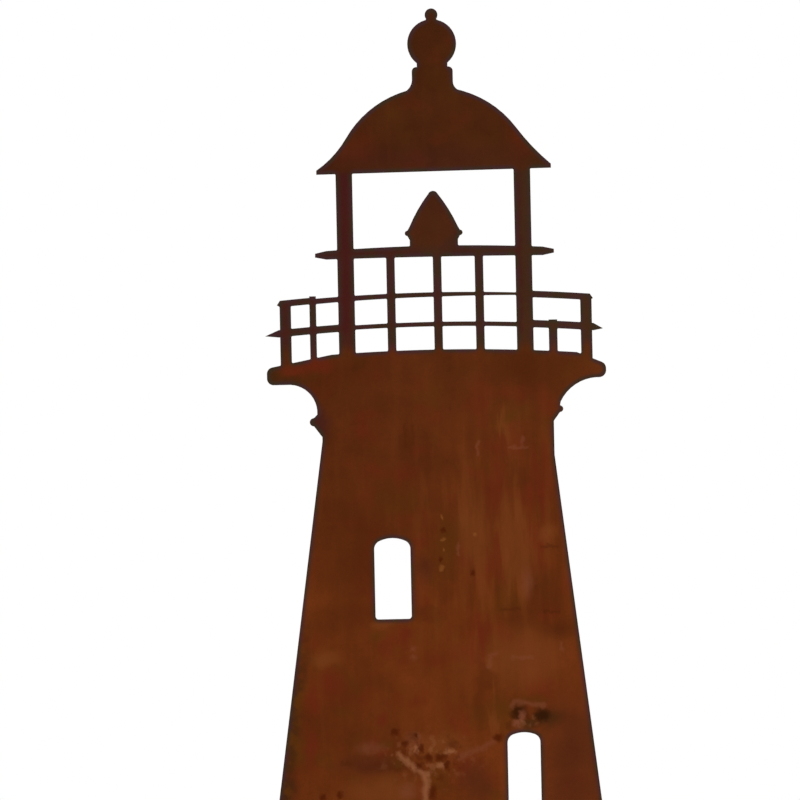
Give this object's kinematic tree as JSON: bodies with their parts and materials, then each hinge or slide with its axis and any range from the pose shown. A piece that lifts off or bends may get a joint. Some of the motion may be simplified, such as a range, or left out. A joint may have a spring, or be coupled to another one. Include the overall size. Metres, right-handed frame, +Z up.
{
  "type": "garden lighthouse ornament",
  "caption": "Flat lighthouse silhouette cut from rusted sheet steel, with open lantern, railed gallery and domed roof, standing on a bolted base plate.",
  "frame": {"origin": "on the ground, under the middle of the base plate", "axes": "+Z up, -Y towards the viewer of the picture, +X to that viewer's right"},
  "size_m": [0.26, 0.14, 0.6138],
  "materials": {
    "rusted_sheet": "raw sheet steel left to rust, matt, brown with orange runs",
    "rusted_plate": "raw steel plate left to rust, matt, dark brown",
    "rusted_bracket": "raw folded steel left to rust, matt, dark brown",
    "fastener_steel": "dull weathered steel"
  },
  "bodies": {
    "root": {"lighthouse_sheet": "rusted_sheet", "base_plate": "rusted_plate", "left_bracket": "rusted_bracket", "right_bracket": "rusted_bracket", "upright_screws": "fastener_steel", "upright_washers": "fastener_steel", "upright_nuts": "fastener_steel", "base_screws": "fastener_steel", "base_washers": "fastener_steel", "base_nuts": "fastener_steel"}
  },
  "joints": []
}
